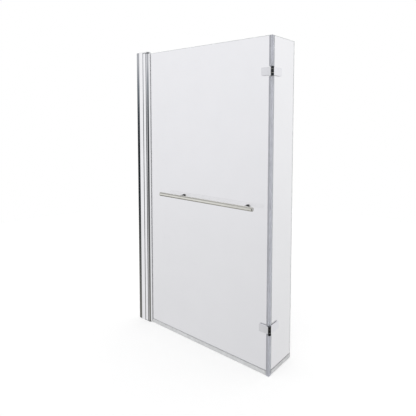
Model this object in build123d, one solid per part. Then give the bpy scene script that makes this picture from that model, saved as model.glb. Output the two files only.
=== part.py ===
"""An L-shaped bath screen: a wall post, a main glass panel that swings on it, and a hinged return panel.

The origin is on the wall, at the height of the bath rim, behind the middle of the post.
X runs from the wall along the main panel, Y points into the bath and Z is up.
The outside of the screen faces -Y on the main panel and +X on the return panel. All sizes are in millimetres.
"""
from build123d import *
import os

os.makedirs("parts", exist_ok=True)

# Whole screen
SCREEN_WIDTH = 800.0    # wall to the outer face of the return glass
RETURN_DEPTH = 180.0    # outer face of the main glass to the free edge of the return glass
GLASS_TOP = 1395.0      # bath rim to the top edge of the glass
GLASS = 6.0             # glass thickness
GLASS_FLOOR = 8.0       # bath rim to the bottom edge of the glass
GLASS_BEVEL = 0.6

# Clearances
FIT = 0.02              # round pieces that are fixed in each other
RUNNING = 0.05          # a pin in its bush, radially
END_PLAY = 0.2          # between faces that slide on each other
SOFT_GAP = 0.3          # a wiping seal and what it wipes
PAST = 1.0              # how far a cut runs past the face that it goes through

# Wall channel and the profile that slides in it
CHANNEL_DEPTH = 26.0
CHANNEL_REACH = 47.0
CHANNEL_WALL = 1.8
SHOULDER_LENGTH = 21.0  # the channel's sides taper towards the wall over this length
SHOULDER_DEPTH = 2.2
MOUTH_ROUND = 0.5
PROFILE_START = 22.0    # how far the profile stays off the wall
PROFILE_WALL = 1.8
PROFILE_PLAY = 0.3      # profile to channel, each side
WEB = 4.0               # metal behind the bar's seat
SEAT_LIP = 8.0          # how far the profile's lips stop short of the bar's axis
WALL_HOLE_RADIUS = 2.75
WALL_HOLE_INSET = 100.0     # ends of the channel to the first and last of four evenly spaced holes
WALL_HOLES = 4

# Screws that lock the profile in the channel, and their caps
LOCK_SCREW_RADIUS = 2.1
LOCK_SCREW_LENGTH = 9.0
LOCK_HEAD_RADIUS = 3.8
LOCK_HEAD = 2.2
LOCK_SCREW_X = 28.0
LOCK_SCREW_INSET = 150.0    # ends of the channel to the first and last screw
LOCK_SCREWS = 3
LOCK_KEY = 1.5              # hexagon socket, centre to corner
LOCK_CAP_RADIUS = 6.0
LOCK_CAP_HEIGHT = 4.0
LOCK_CAP_WALL = 1.2

# Ends of the post
BRACKET = 4.0           # thickness of the plates that carry the pivot pins
TOP_CAP = 3.2
TOP_CAP_ROUND = 0.8
PLUG_DEPTH = 12.0
PLUG_PLAY = 0.2
BOSS_RADIUS = 3.2
BRACKET_SCREW_RADIUS = 1.5
BRACKET_SCREW_HEAD = 2.9
BRACKET_HEAD_DEPTH = 1.6
BRACKET_SCREW_LENGTH = 18.0

# Pivot
PIVOT_X = 74.0          # wall to the axis that the screen swings on
PIVOT_PIN_RADIUS = 2.5
PIVOT_PIN_HEAD = 4.5
PIVOT_HEAD_DEPTH = 1.6
PIVOT_PIN_LENGTH = 20.0
BAR_RADIUS = 11.5
BAR_BORE_RADIUS = 4.0
BUSH_LENGTH = 20.0
BUSH_FLANGE = 1.5
BUSH_FLANGE_RADIUS = 7.0
SEAT_GAP = 0.6
NECK_REACH = 19.0       # axis to the end of the neck that grips the glass
NECK_LIP = 1.8
SLOT_START = 6.0        # axis to the bottom of the glass slot
GASKET = 1.4
GASKET_BEAD = 0.8
WIPER_WIDTH = 2.5
WIPER_DEPTH = 2.0       # depth of the wiper's groove

# Corner seal and the gap between the two panels
CORNER_MAIN = 9.0       # outer corner to the edge of the main glass
CORNER_RETURN = 16.0    # outer corner to the edge of the return glass
CORNER_GAP = 0.5
CORNER_ROUND = 3.0
CORNER_WALL = 5.5
SEAL_LEG = 5.0
SEAL_LEG_WALL = 1.0

# Bottom seals
FOOT_WALL = 1.1
FOOT_WEB = 1.2
FOOT_LEG = 12.0         # how far the seal's legs rise on the glass
FOOT_TUBE_RADIUS = 2.2
FIN_REACH = 8.0
FIN_DROP = 7.0
FIN_WALL = 1.0
FIN_RISE = 4.5          # glass's bottom edge to the top of the fin
FOOT_GAP = 0.4          # ends of the seal to the bar and the corner seal

# Hinges
LOWER_HINGE_RISE = 200.0    # bath rim to the middle of the lower hinge
UPPER_HINGE_DROP = 141.0    # top of the glass to the middle of the upper hinge
LEAF = 5.0              # leaf thickness
LEAF_HEIGHT = 32.0
MAIN_LEAF_REACH = 50.0  # hinge axis to the leaf's far end
RETURN_LEAF_REACH = 70.0
LEAF_CORNER = 2.0
LEAF_EDGE = 0.8
PIN_EDGE = 0.5
PAD = 0.8               # gasket between the hinge and the glass
PAD_INSET = 0.5
KNUCKLE_RADIUS = 6.5
BARREL_HEIGHT = 38.0
MIDDLE_KNUCKLE = 14.0
KNUCKLE_GAP = 1.0
KNUCKLE_CLEAR = 0.5
NOTCH_CLEAR = 0.8
HINGE_PIN_RADIUS = 3.0
HINGE_BUSH_RADIUS = 4.2
HINGE_BUSH_FLANGE_RADIUS = 6.0
HINGE_BUSH_LENGTH = 6.5
PLATE = 4.0             # inner counter plate
MAIN_PLATE_INSET = 2.0  # edge of the glass to the counter plate
RETURN_PLATE_INSET = 2.0
HINGE_SCREW_RADIUS = 2.5
HINGE_SCREW_HEAD = 4.3
HINGE_HEAD_DEPTH = 2.6
HINGE_SCREW_BITE = 3.2  # how far a screw goes into the outer leaf
HINGE_HOLE_RADIUS = 5.0
HINGE_HOLE_INSET = 12.0     # edge of either glass to its first hole
MAIN_HOLE_PITCH = 16.0
RETURN_HOLE_PITCH = 24.0
HINGE_KEY = 1.5         # hexagon socket, centre to corner

# Towel rail
RAIL_RISE = 700.0       # bath rim to the rail's axis
RAIL_RADIUS = 9.5
RAIL_WALL = 1.5
RAIL_STANDOFF = 36.0    # outer face of the glass to the rail's axis
RAIL_FROM_WALL = 198.0  # wall to the rail's left end
RAIL_FROM_CORNER = 61.0 # outer corner to the rail's right end
LEFT_POST_INSET = 124.0 # rail's left end to its left stand-off
RIGHT_POST_INSET = 50.0
POST_RADIUS = 7.0
POST_FLANGE_RADIUS = 9.0
POST_FLANGE = 2.5
POST_FLANGE_ROUND = 0.8
POST_SPIGOT_RADIUS = 5.0
POST_SPIGOT_PAST = 2.0  # how far the spigot passes the rail's axis
RAIL_PLUG_HEAD = 4.0
RAIL_PLUG_ROUND = 3.4
RAIL_PLUG_SPIGOT = 12.0
RAIL_WASHER = 1.0
RAIL_HOLE_RADIUS = 6.0
RAIL_BOLT_RADIUS = 3.0
RAIL_BOLT_BITE = 12.0
RAIL_BOLT_HEAD_RADIUS = 5.0
RAIL_BOLT_HEAD = 3.0
RAIL_CAP = 4.5
RAIL_CAP_ROUND = 1.1
GRUB_RADIUS = 2.0
GRUB_RECESS = 0.3
SOCKET_DEPTH = 1.5
RAIL_KEY = 2.3          # hexagon socket, centre to corner
GRUB_KEY = 1.1

# Worked out from the above
outer_y = -GLASS / 2
inner_y = GLASS / 2
return_inner_x = SCREEN_WIDTH - GLASS
profile_half = CHANNEL_DEPTH / 2 - CHANNEL_WALL - PROFILE_PLAY
seat_radius = BAR_RADIUS + SEAT_GAP
web_start = PIVOT_X - seat_radius - WEB
profile_end = PIVOT_X - SEAT_LIP
boss_x = web_start - BOSS_RADIUS / 2
boss_y = profile_half - PROFILE_WALL / 2 - BOSS_RADIUS
bar_bottom = BRACKET + END_PLAY + BUSH_FLANGE
profile_top = GLASS_TOP + BUSH_FLANGE + END_PLAY
post_top = profile_top + BRACKET
slot_half = GLASS / 2 + GASKET
neck_half = slot_half + NECK_LIP
neck_end = PIVOT_X + NECK_REACH
main_glass_start = PIVOT_X + SLOT_START + GASKET
main_glass_end = SCREEN_WIDTH - CORNER_MAIN
return_glass_start = outer_y + CORNER_RETURN
return_glass_end = outer_y + RETURN_DEPTH
hinge_x = SCREEN_WIDTH + PAD + LEAF / 2
hinge_y = outer_y - PAD - LEAF / 2
hinge_heights = {"lower_hinge": LOWER_HINGE_RISE, "upper_hinge": GLASS_TOP - UPPER_HINGE_DROP}
main_hole_insets = (HINGE_HOLE_INSET, HINGE_HOLE_INSET + MAIN_HOLE_PITCH)
return_hole_insets = (HINGE_HOLE_INSET, HINGE_HOLE_INSET + RETURN_HOLE_PITCH)
rail_y = outer_y - RAIL_STANDOFF
rail_left = RAIL_FROM_WALL
rail_right = SCREEN_WIDTH - RAIL_FROM_CORNER
rail_posts = (rail_left + LEFT_POST_INSET, rail_right - RIGHT_POST_INSET)
leaf_bite_y = outer_y - PAD - HINGE_SCREW_BITE
leaf_bite_x = SCREEN_WIDTH + PAD + HINGE_SCREW_BITE


def spread(count, inset):
    """Evenly spaced heights on the post, the first and last at an inset from its ends."""
    pitch = (post_top - 2 * inset) / (count - 1)
    return [inset + step * pitch for step in range(count)]


wall_holes = spread(WALL_HOLES, WALL_HOLE_INSET)
lock_screws = spread(LOCK_SCREWS, LOCK_SCREW_INSET)


def block(x, y, z):
    """A box from three pairs of low and high values."""
    size = Box(x[1] - x[0], y[1] - y[0], z[1] - z[0])
    return Pos(sum(x) / 2, sum(y) / 2, sum(z) / 2) * size


def rect(x, y):
    """A flat rectangle from two pairs of low and high values."""
    return Pos(sum(x) / 2, sum(y) / 2) * Rectangle(x[1] - x[0], y[1] - y[0])


def prism(section, low, high):
    """A flat section drawn on XY, extruded from one height to another."""
    return Pos(0, 0, low) * extrude(section, amount=high - low)


def rod(radius, start, end):
    """A cylinder from one point to another."""
    start, end = Vector(*start), Vector(*end)
    along = end - start
    cylinder = Cylinder(radius, along.length, align=(Align.CENTER, Align.CENTER, Align.MIN))
    return Plane(origin=start, z_dir=along) * cylinder


def rod_x(radius, y, z, start, end):
    return rod(radius, (start, y, z), (end, y, z))


def rod_y(radius, x, z, start, end):
    return rod(radius, (x, start, z), (x, end, z))


def rod_z(radius, x, y, start, end):
    return rod(radius, (x, y, start), (x, y, end))


def socket(radius, mouth, direction, depth):
    """A hexagon socket that opens at a point and goes in along a direction."""
    place = Plane(origin=Vector(*mouth), z_dir=Vector(*direction))
    return place * extrude(RegularPolygon(radius, 6), amount=depth)


def edges_at(shape, along, across, place):
    """The straight edges along one axis that lie at one place on another."""
    return shape.edges().filter_by(along).filter_by_position(across, place - FIT, place + FIT)


# Wall post

def channel_outline(inside, end):
    """The channel's section without its hollow, drawn a distance inside its surface and as far as an end."""
    half = CHANNEL_DEPTH / 2 - inside
    back = half - SHOULDER_DEPTH
    corners = [(0, -back), (SHOULDER_LENGTH, -half), (CHANNEL_REACH, -half)]
    corners += [(x, -y) for x, y in reversed(corners)]
    return make_face(Polyline(*corners, close=True)) & rect((inside, end), (-half, half))


def wall_channel():
    half = CHANNEL_DEPTH / 2
    inner = half - CHANNEL_WALL
    section = channel_outline(0, CHANNEL_REACH) - channel_outline(CHANNEL_WALL, CHANNEL_REACH)
    mouth = section.vertices().filter_by(lambda v: v.X > CHANNEL_REACH - FIT and abs(v.Y) > half - FIT)
    channel = prism(fillet(mouth, MOUTH_ROUND), 0, post_top)
    for z in wall_holes:
        channel -= rod_x(WALL_HOLE_RADIUS, 0, z, -1, CHANNEL_WALL + PAST)
    for z in lock_screws:
        channel -= rod_y(LOCK_SCREW_RADIUS + FIT, LOCK_SCREW_X, z, inner - PAST, half + PAST)
    return channel


def adjusting_profile():
    inner = profile_half - PROFILE_WALL
    section = rect((PROFILE_START, profile_end), (-profile_half, profile_half))
    section -= rect((PROFILE_START, web_start), (-inner, inner))
    for side in (-1, 1):
        section += Pos(boss_x, side * boss_y) * Circle(BOSS_RADIUS)
        section -= Pos(boss_x, side * boss_y) * Circle(BRACKET_SCREW_RADIUS)
    section -= Pos(PIVOT_X, 0) * Circle(seat_radius)
    groove_end = PIVOT_X - seat_radius - WIPER_DEPTH
    section -= rect((groove_end, PIVOT_X - SEAT_LIP), (-WIPER_WIDTH / 2, WIPER_WIDTH / 2))
    profile = prism(section, BRACKET, profile_top)
    for z in lock_screws:
        profile -= rod_y(LOCK_SCREW_RADIUS + FIT, LOCK_SCREW_X, z, inner - PAST, profile_half + PAST)
    return profile


def pivot_wiper_seal():
    groove_end = PIVOT_X - seat_radius - WIPER_DEPTH
    section = rect((groove_end, PIVOT_X - SEAT_LIP), (-WIPER_WIDTH / 2, WIPER_WIDTH / 2))
    section -= Pos(PIVOT_X, 0) * Circle(BAR_RADIUS + SOFT_GAP)
    return prism(section, BRACKET, profile_top)


def lock_screw(z):
    face = CHANNEL_DEPTH / 2
    screw = rod_y(LOCK_SCREW_RADIUS, LOCK_SCREW_X, z, face - LOCK_SCREW_LENGTH, face + LOCK_HEAD / 2)
    screw += rod_y(LOCK_HEAD_RADIUS, LOCK_SCREW_X, z, face, face + LOCK_HEAD)
    return screw - socket(LOCK_KEY, (LOCK_SCREW_X, face + LOCK_HEAD, z), (0, -1, 0), LOCK_HEAD / 2)


def lock_screw_cap(z):
    face = CHANNEL_DEPTH / 2
    top = face + LOCK_CAP_HEIGHT
    cap = rod_y(LOCK_CAP_RADIUS, LOCK_SCREW_X, z, face, top)
    rim = cap.edges().filter_by(GeomType.CIRCLE).sort_by(Axis.Y)[-1]
    cap = fillet(rim, LOCK_CAP_WALL)
    hollow = rod_y(LOCK_CAP_RADIUS - LOCK_CAP_WALL, LOCK_SCREW_X, z, face - PAST, top - LOCK_CAP_WALL)
    return cap - hollow


def post_plug(low, high):
    """The block that fills the channel's end between the wall and the profile."""
    return prism(channel_outline(CHANNEL_WALL + PLUG_PLAY, PROFILE_START - PLUG_PLAY), low, high)


def post_top_cap():
    half = CHANNEL_DEPTH / 2
    outline = channel_outline(0, CHANNEL_REACH) + rect((SHOULDER_LENGTH, PIVOT_X), (-half, half))
    outline += Pos(PIVOT_X, 0) * Circle(half)
    cap = prism(outline, post_top, post_top + TOP_CAP)
    cap = fillet(cap.edges().group_by(Axis.Z)[-1], TOP_CAP_ROUND)
    return cap + post_plug(post_top - PLUG_DEPTH, post_top)


def post_bottom_plug():
    return post_plug(0, PLUG_DEPTH)


def bracket_outline():
    section = rect((PROFILE_START, PIVOT_X), (-profile_half, profile_half))
    return section + Pos(PIVOT_X, 0) * Circle(profile_half)


def pivot_bracket(inner, outer):
    """An end plate between two heights, with sunk holes in its outer face for the pin and screws."""
    out = 1 if outer > inner else -1
    bracket = prism(bracket_outline(), min(inner, outer), max(inner, outer))
    holes = [(PIVOT_X, 0, PIVOT_PIN_RADIUS + FIT, PIVOT_PIN_HEAD + FIT, PIVOT_HEAD_DEPTH)]
    for side in (-1, 1):
        screw = (BRACKET_SCREW_RADIUS + FIT, BRACKET_SCREW_HEAD + FIT, BRACKET_HEAD_DEPTH)
        holes.append((boss_x, side * boss_y, *screw))
    for x, y, radius, head_radius, depth in holes:
        bracket -= rod_z(radius, x, y, inner - out, outer + out)
        bracket -= rod_z(head_radius, x, y, outer - out * depth, outer + out)
    return bracket


def pivot_pin(outer, into):
    """A headed pin, flush with a bracket's outer face, that goes into the bar."""
    pin = rod_z(PIVOT_PIN_RADIUS, PIVOT_X, 0, outer, outer + into * PIVOT_PIN_LENGTH)
    return pin + rod_z(PIVOT_PIN_HEAD, PIVOT_X, 0, outer, outer + into * PIVOT_HEAD_DEPTH)


def bracket_screw(y, outer, into):
    screw = rod_z(BRACKET_SCREW_RADIUS - FIT, boss_x, y, outer, outer + into * BRACKET_SCREW_LENGTH)
    screw += rod_z(BRACKET_SCREW_HEAD, boss_x, y, outer, outer + into * BRACKET_HEAD_DEPTH)
    return screw - socket(GRUB_KEY, (boss_x, y, outer), (0, 0, into), BRACKET_HEAD_DEPTH / 2)


def pivot_bracket_screws():
    ends = ((post_top, -1), (0, 1))
    return [bracket_screw(side * boss_y, outer, into) for outer, into in ends for side in (-1, 1)]


# Pivot bar and glass of the main panel

def pivot_bar():
    section = Pos(PIVOT_X, 0) * Circle(BAR_RADIUS) + rect((PIVOT_X, neck_end), (-neck_half, neck_half))
    section -= rect((PIVOT_X + SLOT_START, neck_end), (-slot_half, slot_half))
    section -= Pos(PIVOT_X, 0) * Circle(BAR_BORE_RADIUS)
    bar = prism(section, bar_bottom, GLASS_TOP)
    ends = edges_at(bar, Axis.Z, Axis.X, neck_end)
    return fillet(ends.filter_by(lambda e: abs(e.center().Y) > slot_half + FIT), NECK_LIP / 2)


def pivot_bush(face, into):
    """A flanged bush on one end of the bar."""
    bore = PIVOT_PIN_RADIUS + RUNNING
    out = face - into * BUSH_FLANGE
    bush = rod_z(BAR_BORE_RADIUS - FIT, PIVOT_X, 0, out, face + into * BUSH_LENGTH)
    bush += rod_z(BUSH_FLANGE_RADIUS, PIVOT_X, 0, out, face)
    return bush - rod_z(bore, PIVOT_X, 0, out - into, face + into * (BUSH_LENGTH + PAST))


def glazing_gasket():
    section = rect((PIVOT_X + SLOT_START, neck_end + GASKET_BEAD), (-slot_half, slot_half))
    section -= rect((main_glass_start, neck_end + GASKET_BEAD), (outer_y, inner_y))
    return prism(section, GLASS_FLOOR, GLASS_TOP)


def bevelled(panel, long_axis):
    """A glass panel with its long edges ground."""
    return chamfer(panel.edges().filter_by(Axis.Z) + panel.edges().filter_by(long_axis), GLASS_BEVEL)


def main_glass():
    glass = block((main_glass_start, main_glass_end), (outer_y, inner_y), (GLASS_FLOOR, GLASS_TOP))
    glass = bevelled(glass, Axis.X)
    for x in rail_posts:
        glass -= rod_y(RAIL_HOLE_RADIUS, x, RAIL_RISE, outer_y - PAST, inner_y + PAST)
    for z in hinge_heights.values():
        for inset in main_hole_insets:
            x = main_glass_end - inset
            glass -= rod_y(HINGE_HOLE_RADIUS, x, z, outer_y - PAST, inner_y + PAST)
    return glass


def return_glass():
    length = (return_glass_start, return_glass_end)
    glass = bevelled(block((return_inner_x, SCREEN_WIDTH), length, (GLASS_FLOOR, GLASS_TOP)), Axis.Y)
    for z in hinge_heights.values():
        for inset in return_hole_insets:
            y = return_glass_start + inset
            glass -= rod_x(HINGE_HOLE_RADIUS, y, z, return_inner_x - PAST, SCREEN_WIDTH + PAST)
    return glass


# Seals

def foot_section():
    """A bottom seal's section: across the glass, positive on the bath's side, and up."""
    half = GLASS / 2 + FOOT_WALL
    web = GLASS_FLOOR - FOOT_WEB
    section = rect((-half, half), (0, GLASS_FLOOR))
    section = fillet(section.vertices().filter_by(lambda v: v.Y < FIT), FOOT_WALL)
    for side in (-1, 1):
        leg = sorted((side * GLASS / 2, side * half))
        section += rect(leg, (web, GLASS_FLOOR + FOOT_LEG))
    section -= Pos(0, web / 2) * Circle(FOOT_TUBE_RADIUS)
    root = GLASS_FLOOR + FIN_RISE
    tip = (half + FIN_REACH, root - FIN_DROP)
    buried = half - FOOT_WALL / 2
    corners = [(buried, root), tip, (tip[0], tip[1] - FIN_WALL), (buried, root - 2 * FIN_WALL)]
    return section + make_face(Polyline(*corners, close=True))


def main_bottom_seal():
    start = neck_end + GASKET_BEAD + FOOT_GAP
    place = Plane(origin=(start, 0, 0), x_dir=(0, 1, 0), z_dir=(1, 0, 0))
    end = main_glass_end - SEAL_LEG - FOOT_GAP
    return place * extrude(foot_section(), amount=end - start)


def return_bottom_seal():
    middle = (return_inner_x + SCREEN_WIDTH) / 2
    place = Plane(origin=(middle, return_glass_start, 0), x_dir=(-1, 0, 0), z_dir=(0, 1, 0))
    return place * extrude(foot_section(), amount=return_glass_end - return_glass_start)


def corner_seal():
    edge = SCREEN_WIDTH - CORNER_WALL
    across = rect((main_glass_end, SCREEN_WIDTH), (outer_y, inner_y + SEAL_LEG_WALL))
    along = rect((edge, SCREEN_WIDTH), (outer_y, return_glass_start - CORNER_GAP))
    section = across + along
    corner = section.vertices().filter_by(lambda v: v.X > SCREEN_WIDTH - FIT and v.Y < outer_y + FIT)
    section = fillet(corner, CORNER_ROUND)
    legs = (main_glass_end - SEAL_LEG, main_glass_end + SEAL_LEG_WALL)
    for side in (-1, 1):
        leg = sorted((side * GLASS / 2, side * (GLASS / 2 + SEAL_LEG_WALL)))
        section += rect(legs, leg)
    seal = prism(section, 0, GLASS_TOP)
    leaf_zone = LEAF_HEIGHT / 2 + NOTCH_CLEAR
    barrel_zone = BARREL_HEIGHT / 2 + NOTCH_CLEAR
    for z in hinge_heights.values():
        seal -= barrel_piece(KNUCKLE_RADIUS + NOTCH_CLEAR, z - barrel_zone, z + barrel_zone)
        for side in (-1, 1):
            leg = sorted((side * GLASS / 2, side * (GLASS / 2 + 2 * SEAL_LEG_WALL)))
            seal -= block((legs[0] - PAST, legs[1]), leg, (z - leaf_zone, z + leaf_zone))
    return seal


# Hinges

def knuckles(z, of_main):
    """The parts of a barrel that belong to one leaf, as pairs of heights."""
    middle = MIDDLE_KNUCKLE / 2
    end = BARREL_HEIGHT / 2
    if of_main:
        return [(z - end, z - middle - KNUCKLE_GAP), (z + middle + KNUCKLE_GAP, z + end)]
    return [(z - middle, z + middle)]


def barrel_piece(radius, low, high):
    return rod_z(radius, hinge_x, hinge_y, low, high)


def knuckle(low, high, middle):
    """A leaf's part of the barrel, with its rim eased where it ends the barrel."""
    piece = barrel_piece(KNUCKLE_RADIUS, low, high)
    for end in (low, high):
        if abs(end - middle) > BARREL_HEIGHT / 2 - FIT:
            piece = fillet(piece.edges().filter_by_position(Axis.Z, end - FIT, end + FIT), LEAF_EDGE)
    return piece


def eased_plate(x, y, z, outward, corners=None):
    """A hinge plate with rounded corners and with the rim of its outward face eased."""
    axis = Axis.X if abs(outward.X) > abs(outward.Y) else Axis.Y
    last = -1 if outward.dot(axis.direction) > 0 else 0
    plate = block(x, y, z)
    ends = plate.edges().filter_by(axis)
    plate = fillet(ends.filter_by(corners) if corners else ends, LEAF_CORNER)
    return fillet(plate.faces().sort_by(axis)[last].edges(), LEAF_EDGE)


def leaf_with_barrel(plate, z, of_main, bore):
    """A leaf's plate, cut clear of the other leaf's knuckles and joined to its own."""
    reach = BARREL_HEIGHT / 2 + 1
    own = knuckles(z, of_main)
    for low, high in knuckles(z, not of_main):
        low = max(low - KNUCKLE_GAP, z - reach)
        high = min(high + KNUCKLE_GAP, z + reach)
        plate -= barrel_piece(KNUCKLE_RADIUS + KNUCKLE_CLEAR, low, high)
    for low, high in own:
        plate += knuckle(low, high, z)
    return plate - barrel_piece(bore, z - reach, z + reach)


def main_leaf(z):
    x = (hinge_x - MAIN_LEAF_REACH, hinge_x)
    y = (hinge_y - LEAF / 2, hinge_y + LEAF / 2)
    height = (z - LEAF_HEIGHT / 2, z + LEAF_HEIGHT / 2)
    plate = eased_plate(x, y, height, Vector(0, -1, 0), lambda e: e.center().X < x[0] + FIT)
    leaf = leaf_with_barrel(plate, z, True, HINGE_PIN_RADIUS + FIT)
    for inset in main_hole_insets:
        hole_x = main_glass_end - inset
        leaf -= rod_y(HINGE_SCREW_RADIUS + FIT, hole_x, z, y[1] + PAST, leaf_bite_y - FIT)
    return leaf


def return_leaf(z):
    y = (hinge_y, hinge_y + RETURN_LEAF_REACH)
    x = (hinge_x - LEAF / 2, hinge_x + LEAF / 2)
    height = (z - LEAF_HEIGHT / 2, z + LEAF_HEIGHT / 2)
    plate = eased_plate(x, y, height, Vector(1, 0, 0), lambda e: e.center().Y > y[1] - FIT)
    leaf = leaf_with_barrel(plate, z, False, HINGE_BUSH_RADIUS + FIT)
    for inset in return_hole_insets:
        hole_y = return_glass_start + inset
        leaf -= rod_x(HINGE_SCREW_RADIUS + FIT, hole_y, z, x[0] - PAST, leaf_bite_x + FIT)
    return leaf


def hinge_pin(z):
    pin = barrel_piece(HINGE_PIN_RADIUS, z - BARREL_HEIGHT / 2, z + BARREL_HEIGHT / 2)
    return chamfer(pin.edges().filter_by(GeomType.CIRCLE), PIN_EDGE)


def hinge_bushes(z):
    bushes = []
    bore = barrel_piece(HINGE_PIN_RADIUS + RUNNING, z - BARREL_HEIGHT / 2, z + BARREL_HEIGHT / 2)
    for side in (-1, 1):
        face = z + side * MIDDLE_KNUCKLE / 2
        out = face + side * (KNUCKLE_GAP - END_PLAY / 2)
        bush = barrel_piece(HINGE_BUSH_RADIUS, face - side * HINGE_BUSH_LENGTH, out)
        bush += barrel_piece(HINGE_BUSH_FLANGE_RADIUS, face, out)
        bushes.append(bush - bore)
    return bushes


def main_plate(z):
    x = (hinge_x - MAIN_LEAF_REACH, main_glass_end - MAIN_PLATE_INSET)
    y = (inner_y + PAD, inner_y + PAD + PLATE)
    plate = eased_plate(x, y, (z - LEAF_HEIGHT / 2, z + LEAF_HEIGHT / 2), Vector(0, 1, 0))
    for inset in main_hole_insets:
        hole_x = main_glass_end - inset
        plate -= rod_y(HINGE_SCREW_RADIUS + FIT, hole_x, z, y[0] - PAST, y[1] + PAST)
        plate -= rod_y(HINGE_SCREW_HEAD + FIT, hole_x, z, y[1] - HINGE_HEAD_DEPTH, y[1] + PAST)
    return plate


def return_plate(z):
    y = (return_glass_start + RETURN_PLATE_INSET, hinge_y + RETURN_LEAF_REACH)
    x = (return_inner_x - PAD - PLATE, return_inner_x - PAD)
    plate = eased_plate(x, y, (z - LEAF_HEIGHT / 2, z + LEAF_HEIGHT / 2), Vector(-1, 0, 0))
    for inset in return_hole_insets:
        hole_y = return_glass_start + inset
        plate -= rod_x(HINGE_SCREW_RADIUS + FIT, hole_y, z, x[0] - PAST, x[1] + PAST)
        plate -= rod_x(HINGE_SCREW_HEAD + FIT, hole_y, z, x[0] - PAST, x[0] + HINGE_HEAD_DEPTH)
    return plate


def main_gaskets(z):
    """An outer and an inner pad, each with collars that line the holes in the glass."""
    height = (z - LEAF_HEIGHT / 2 + PAD_INSET, z + LEAF_HEIGHT / 2 - PAD_INSET)
    start = hinge_x - MAIN_LEAF_REACH + PAD_INSET
    ends = {-1: main_glass_end, 1: main_glass_end - MAIN_PLATE_INSET}
    pads = []
    for side, end in ends.items():
        face, back = side * GLASS / 2, side * (GLASS / 2 + PAD)
        pad = block((start, end), sorted((face, back)), height)
        for inset in main_hole_insets:
            x = main_glass_end - inset
            pad += rod_y(HINGE_HOLE_RADIUS - FIT, x, z, 0, face)
            pad -= rod_y(HINGE_SCREW_RADIUS + FIT, x, z, -side, back + side)
        pads.append(pad)
    return pads


def return_gaskets(z):
    height = (z - LEAF_HEIGHT / 2 + PAD_INSET, z + LEAF_HEIGHT / 2 - PAD_INSET)
    end = hinge_y + RETURN_LEAF_REACH - PAD_INSET
    middle = SCREEN_WIDTH - GLASS / 2
    starts = {1: return_glass_start, -1: return_glass_start + RETURN_PLATE_INSET}
    pads = []
    for side, start in starts.items():
        face, back = middle + side * GLASS / 2, middle + side * (GLASS / 2 + PAD)
        pad = block(sorted((face, back)), (start, end), height)
        for inset in return_hole_insets:
            y = return_glass_start + inset
            pad += rod_x(HINGE_HOLE_RADIUS - FIT, y, z, middle, face)
            pad -= rod_x(HINGE_SCREW_RADIUS + FIT, y, z, middle - side, back + side)
        pads.append(pad)
    return pads


def sunk_screw(head_face, tip, radius, head_radius, head_depth, key):
    """A screw from its head's outer face to its tip, with a hexagon socket."""
    head_face, tip = Vector(*head_face), Vector(*tip)
    into = (tip - head_face).normalized()
    screw = rod(radius, head_face, tip) + rod(head_radius, head_face, head_face + into * head_depth)
    return screw - socket(key, head_face, into, head_depth / 2)


def main_screws(z):
    head = inner_y + PAD + PLATE
    size = (HINGE_SCREW_RADIUS, HINGE_SCREW_HEAD, HINGE_HEAD_DEPTH, HINGE_KEY)
    places = [main_glass_end - inset for inset in main_hole_insets]
    return [sunk_screw((x, head, z), (x, leaf_bite_y, z), *size) for x in places]


def return_screws(z):
    head = return_inner_x - PAD - PLATE
    size = (HINGE_SCREW_RADIUS, HINGE_SCREW_HEAD, HINGE_HEAD_DEPTH, HINGE_KEY)
    places = [return_glass_start + inset for inset in return_hole_insets]
    return [sunk_screw((head, y, z), (leaf_bite_x, y, z), *size) for y in places]


# Towel rail

def towel_rail_tube():
    ends = ((rail_left + RAIL_PLUG_HEAD, rail_y, RAIL_RISE), (rail_right - RAIL_PLUG_HEAD, rail_y, RAIL_RISE))
    tube = rod(RAIL_RADIUS, *ends) - rod(RAIL_RADIUS - RAIL_WALL, *ends)
    for x in rail_posts:
        tube -= rod_y(POST_SPIGOT_RADIUS + FIT, x, RAIL_RISE, rail_y, rail_y + RAIL_RADIUS + PAST)
        tube -= rod_z(GRUB_RADIUS + FIT, x, rail_y, RAIL_RISE, RAIL_RISE - RAIL_RADIUS - PAST)
    return tube


def rail_end_plug(end, into):
    """A rounded plug in one end of the rail."""
    inner_face = end + into * RAIL_PLUG_HEAD
    head = rod_x(RAIL_RADIUS, rail_y, RAIL_RISE, end, inner_face)
    rim = head.edges().filter_by(GeomType.CIRCLE).sort_by(Axis.X)[0 if into > 0 else -1]
    head = fillet(rim, RAIL_PLUG_ROUND)
    tip = inner_face + into * RAIL_PLUG_SPIGOT
    return head + rod_x(RAIL_RADIUS - RAIL_WALL - FIT, rail_y, RAIL_RISE, inner_face, tip)


def rail_post(x):
    foot = outer_y - RAIL_WASHER
    post = rod_y(POST_RADIUS, x, RAIL_RISE, foot, rail_y)
    post -= rod_x(RAIL_RADIUS + FIT, rail_y, RAIL_RISE, x - POST_RADIUS - PAST, x + POST_RADIUS + PAST)
    flange = rod_y(POST_FLANGE_RADIUS, x, RAIL_RISE, foot, foot - POST_FLANGE)
    rim = flange.edges().filter_by(GeomType.CIRCLE).sort_by(Axis.Y)[0]
    post += fillet(rim, POST_FLANGE_ROUND)
    post += rod_y(POST_SPIGOT_RADIUS, x, RAIL_RISE, foot - POST_FLANGE, rail_y - POST_SPIGOT_PAST)
    return post - rod_y(RAIL_BOLT_RADIUS + FIT, x, RAIL_RISE, foot + PAST, foot - RAIL_BOLT_BITE - PAST)


def rail_grub_screw(x):
    foot = (x, rail_y, RAIL_RISE - RAIL_RADIUS + GRUB_RECESS)
    grub = rod(GRUB_RADIUS, foot, (x, rail_y, RAIL_RISE - POST_SPIGOT_RADIUS - FIT))
    return grub - socket(GRUB_KEY, foot, (0, 0, 1), SOCKET_DEPTH)


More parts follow.
